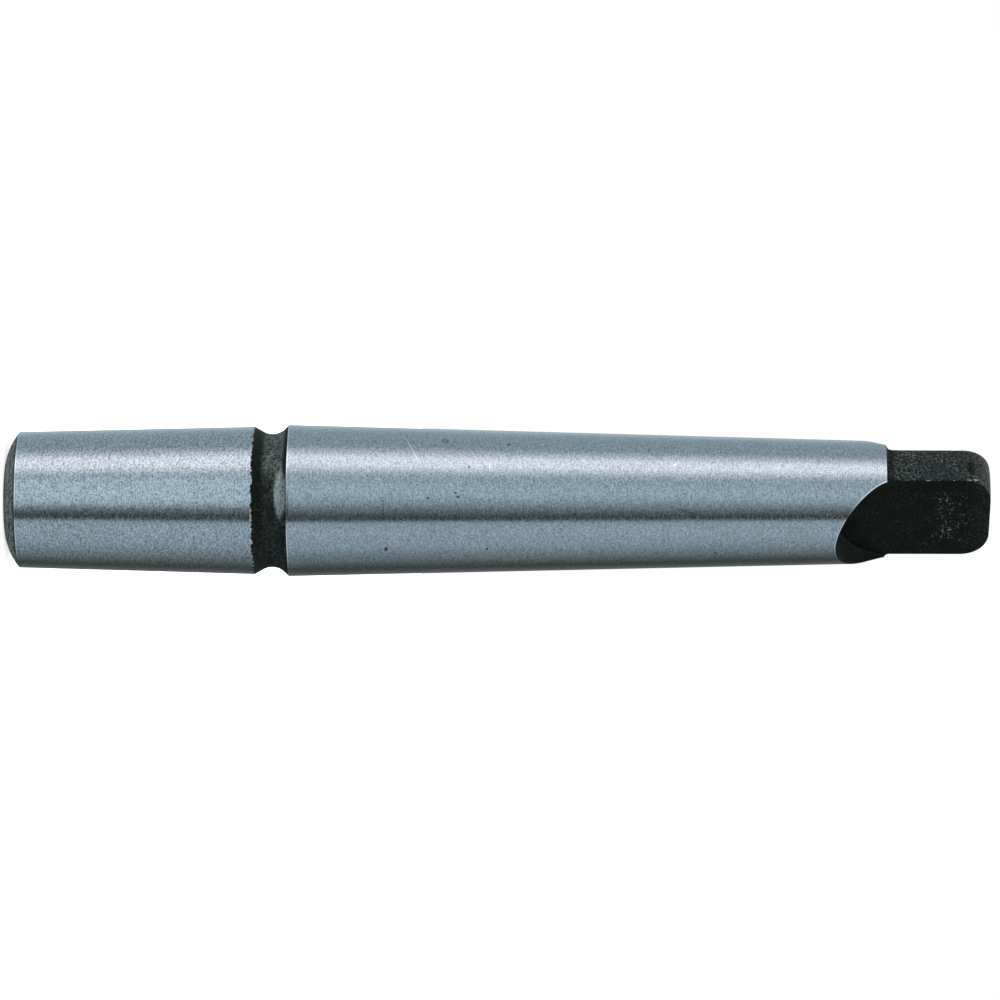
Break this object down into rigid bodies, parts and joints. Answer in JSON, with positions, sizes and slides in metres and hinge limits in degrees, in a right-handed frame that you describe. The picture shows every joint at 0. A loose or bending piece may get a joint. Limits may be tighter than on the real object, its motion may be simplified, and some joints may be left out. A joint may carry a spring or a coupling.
{
  "type": "drill chuck arbor",
  "caption": "Tapered drill chuck arbor: a long shank taper with a flat driving tang, a neck groove and a short chuck taper.",
  "frame": {"origin": "centre of the flat end face of the chuck taper, on the axis, where the arbor stands", "axes": "+Z along the axis from the chuck taper up to the tang; -Y out of the tang flat that the picture shows, +Y out of the other"},
  "size_m": [0.0182, 0.0182, 0.1182],
  "materials": {
    "arbor_steel": "both tapers ground bright; black heat-treatment scale left on the chamfered end, the neck groove and the tang"
  },
  "bodies": {
    "root": {"arbor": "arbor_steel"}
  },
  "joints": []
}
